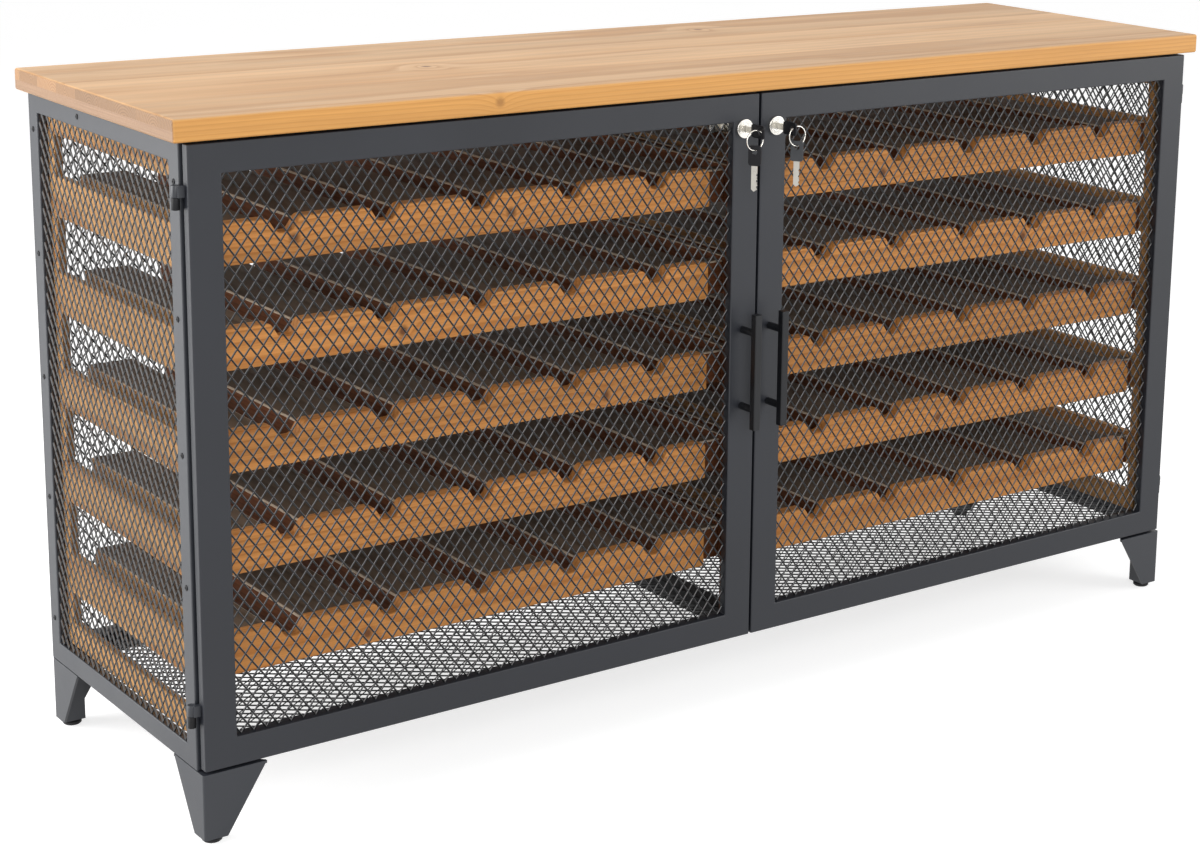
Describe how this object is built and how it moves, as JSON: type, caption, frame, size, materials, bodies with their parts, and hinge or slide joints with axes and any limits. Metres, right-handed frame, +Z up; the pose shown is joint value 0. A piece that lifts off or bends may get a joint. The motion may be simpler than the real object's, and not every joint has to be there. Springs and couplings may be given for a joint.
{
  "type": "wine cabinet",
  "caption": "Low steel-framed wine cabinet with a solid wood top, lockable expanded-metal doors and notched wooden bottle trays.",
  "frame": {"origin": "on the floor, in the middle of the outer box", "axes": "+Z up, +X to the right as seen from the front, doors face -Y; metres"},
  "size_m": [1.5, 0.464, 0.8],
  "materials": {
    "top_wood": "satin",
    "rack_wood": "matte",
    "tray_wood": "satin",
    "carcass_steel": "satin",
    "door_steel": "satin",
    "base_steel": "satin",
    "mesh_steel": "satin",
    "handle_steel": "satin",
    "hinge_steel": "satin",
    "lock_nickel": "polished",
    "ring_nickel": "polished",
    "key_plastic": "satin",
    "foot_plastic": "matte"
  },
  "bodies": {
    "carcass": {"top_board": "top_wood", "left_side_frame": "carcass_steel", "right_side_frame": "carcass_steel", "front_top_rail": "carcass_steel", "front_bottom_rail": "carcass_steel", "rear_top_rail": "carcass_steel", "front_left_leg": "carcass_steel", "front_right_leg": "carcass_steel", "rear_left_leg": "carcass_steel", "rear_right_leg": "carcass_steel", "base_centre_rail": "base_steel", "rear_bottom_rail": "base_steel", "left_side_mesh": "mesh_steel", "right_side_mesh": "mesh_steel", "back_mesh": "mesh_steel", "base_mesh": "mesh_steel", "left_outer_ladder": "rack_wood", "left_inner_ladder": "rack_wood", "right_outer_ladder": "rack_wood", "right_inner_ladder": "rack_wood", "left_tray_1": "tray_wood", "left_tray_2": "tray_wood", "left_tray_3": "tray_wood", "left_tray_4": "tray_wood", "left_tray_5": "tray_wood", "right_tray_1": "tray_wood", "right_tray_2": "tray_wood", "right_tray_3": "tray_wood", "right_tray_4": "tray_wood", "right_tray_5": "tray_wood", "left_frame_hinges": "hinge_steel", "right_frame_hinges": "hinge_steel"},
    "left_door": {"left_door_hinge_stile": "door_steel", "left_door_meeting_stile": "door_steel", "left_door_top_rail": "door_steel", "left_door_bottom_rail": "door_steel", "left_door_mesh": "mesh_steel", "left_handle": "handle_steel", "left_door_hinges": "hinge_steel", "left_lock_body": "lock_nickel"},
    "left_lock": {"left_lock_plug": "lock_nickel", "left_key": "key_plastic"},
    "left_ring": {"left_key_ring": "ring_nickel"},
    "left_spare": {"left_spare_key": "key_plastic"},
    "right_door": {"right_door_hinge_stile": "door_steel", "right_door_meeting_stile": "door_steel", "right_door_top_rail": "door_steel", "right_door_bottom_rail": "door_steel", "right_door_mesh": "mesh_steel", "right_handle": "handle_steel", "right_door_hinges": "hinge_steel", "right_lock_body": "lock_nickel"},
    "right_lock": {"right_lock_plug": "lock_nickel", "right_key": "key_plastic"},
    "right_ring": {"right_key_ring": "ring_nickel"},
    "right_spare": {"right_spare_key": "key_plastic"},
    "front_left_leveller": {"front_left_foot": "foot_plastic"},
    "front_right_leveller": {"front_right_foot": "foot_plastic"},
    "rear_left_leveller": {"rear_left_foot": "foot_plastic"},
    "rear_right_leveller": {"rear_right_foot": "foot_plastic"}
  },
  "joints": [
    {"name": "left_door_swing", "type": "hinge", "parent": "carcass", "child": "left_door", "pos_m": [-0.7408, -0.1785, 0.4325], "axis": [0, 0, -1], "range_deg": [0, 180]},
    {"name": "left_key_turn", "type": "hinge", "parent": "left_door", "child": "left_lock", "pos_m": [-0.024, -0.18, 0.731], "axis": [0, 1, 0], "range_deg": [0, 90]},
    {"name": "left_ring_hang", "type": "hinge", "parent": "left_lock", "child": "left_ring", "pos_m": [-0.024, -0.224, 0.731], "axis": [0, 1, 0], "range_deg": [-90, 0]},
    {"name": "left_spare_swing", "type": "hinge", "parent": "left_ring", "child": "left_spare", "pos_m": [-0.03171, -0.224, 0.70981], "axis": [-1, 0, 0], "range_deg": [-10, 60]},
    {"name": "right_door_swing", "type": "hinge", "parent": "carcass", "child": "right_door", "pos_m": [0.7408, -0.1785, 0.4325], "axis": [0, 0, 1], "range_deg": [0, 180]},
    {"name": "right_key_turn", "type": "hinge", "parent": "right_door", "child": "right_lock", "pos_m": [0.024, -0.18, 0.731], "axis": [0, -1, 0], "range_deg": [0, 90]},
    {"name": "right_ring_hang", "type": "hinge", "parent": "right_lock", "child": "right_ring", "pos_m": [0.024, -0.224, 0.731], "axis": [0, -1, 0], "range_deg": [-90, 0]},
    {"name": "right_spare_swing", "type": "hinge", "parent": "right_ring", "child": "right_spare", "pos_m": [0.03171, -0.224, 0.70981], "axis": [-1, 0, 0], "range_deg": [-10, 60]},
    {"name": "front_left_foot_turn", "type": "hinge", "parent": "carcass", "child": "front_left_leveller", "pos_m": [-0.721, -0.177, 0.02], "axis": [0, 0, 1], "continuous": true},
    {"name": "front_right_foot_turn", "type": "hinge", "parent": "carcass", "child": "front_right_leveller", "pos_m": [0.721, -0.177, 0.02], "axis": [0, 0, 1], "continuous": true},
    {"name": "rear_left_foot_turn", "type": "hinge", "parent": "carcass", "child": "rear_left_leveller", "pos_m": [-0.721, 0.215, 0.02], "axis": [0, 0, 1], "continuous": true},
    {"name": "rear_right_foot_turn", "type": "hinge", "parent": "carcass", "child": "rear_right_leveller", "pos_m": [0.721, 0.215, 0.02], "axis": [0, 0, 1], "continuous": true}
  ],
  "couplings": [
    {"joint": "left_ring_hang", "follows": "left_key_turn", "ratio": -1},
    {"joint": "right_ring_hang", "follows": "right_key_turn", "ratio": -1}
  ]
}
